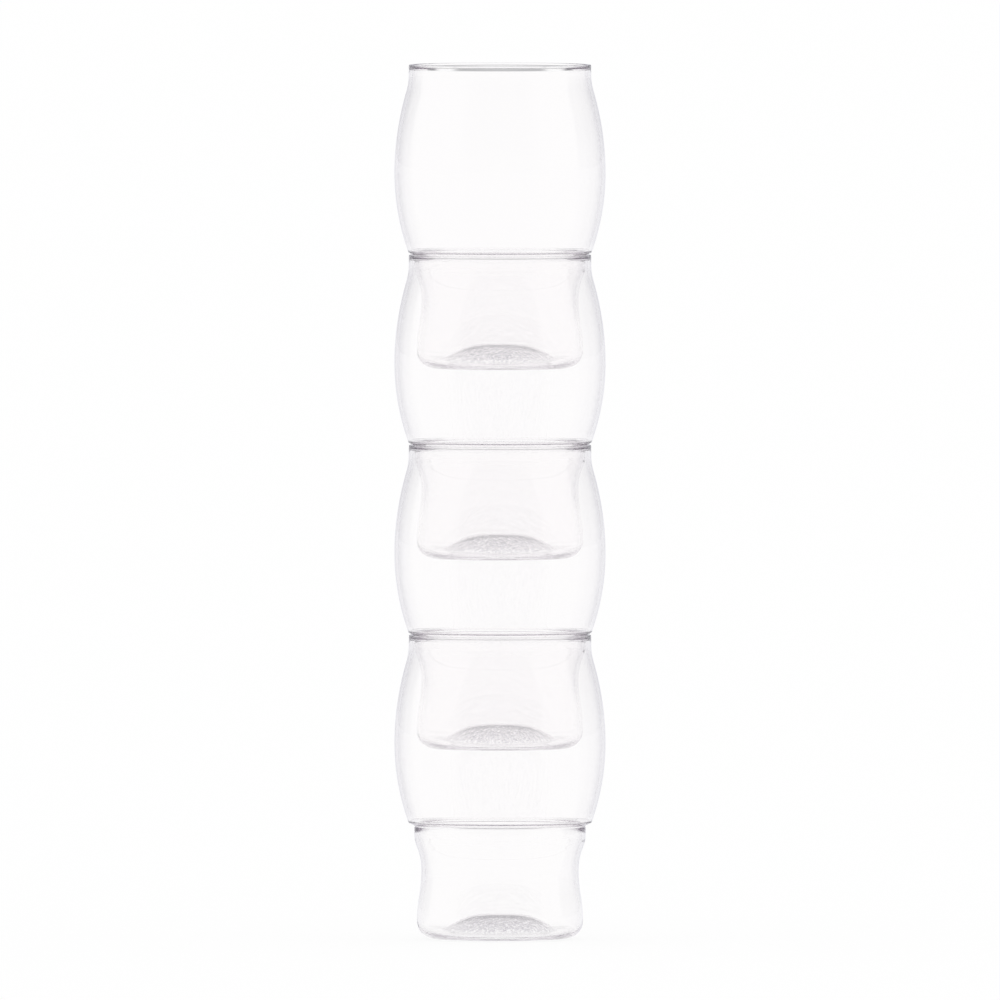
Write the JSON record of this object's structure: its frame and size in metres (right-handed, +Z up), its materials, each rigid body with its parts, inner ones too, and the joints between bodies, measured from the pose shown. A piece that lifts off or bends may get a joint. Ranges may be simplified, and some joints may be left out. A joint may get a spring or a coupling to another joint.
{
  "type": "stackable tasting cups",
  "caption": "Stack of clear plastic tasting cups, each a thin barrel-shaped bowl with a stacking shoulder and a waisted foot with a pushed-up floor, each lifting off the one below.",
  "frame": {"origin": "centre of the ring that the bottom cup stands on", "axes": "+Z up along the common axis of the cups; the cups are round, so X and Y are free"},
  "size_m": [0.0552, 0.0552, 0.2286],
  "materials": {
    "clear_plastic": "clear and polished, frosted under the push-up"
  },
  "bodies": {
    "bottom_cup": {"bottom_cup": "clear_plastic"},
    "second_cup": {"second_cup": "clear_plastic"},
    "third_cup": {"third_cup": "clear_plastic"},
    "top_cup": {"top_cup": "clear_plastic"}
  },
  "joints": [
    {"name": "second_cup_lift", "type": "slide", "parent": "bottom_cup", "child": "second_cup", "axis": [0, 0, 1], "range_m": [0, 0.04]},
    {"name": "third_cup_lift", "type": "slide", "parent": "second_cup", "child": "third_cup", "axis": [0, 0, 1], "range_m": [0, 0.04]},
    {"name": "top_cup_lift", "type": "slide", "parent": "third_cup", "child": "top_cup", "axis": [0, 0, 1], "range_m": [0, 0.04]}
  ]
}
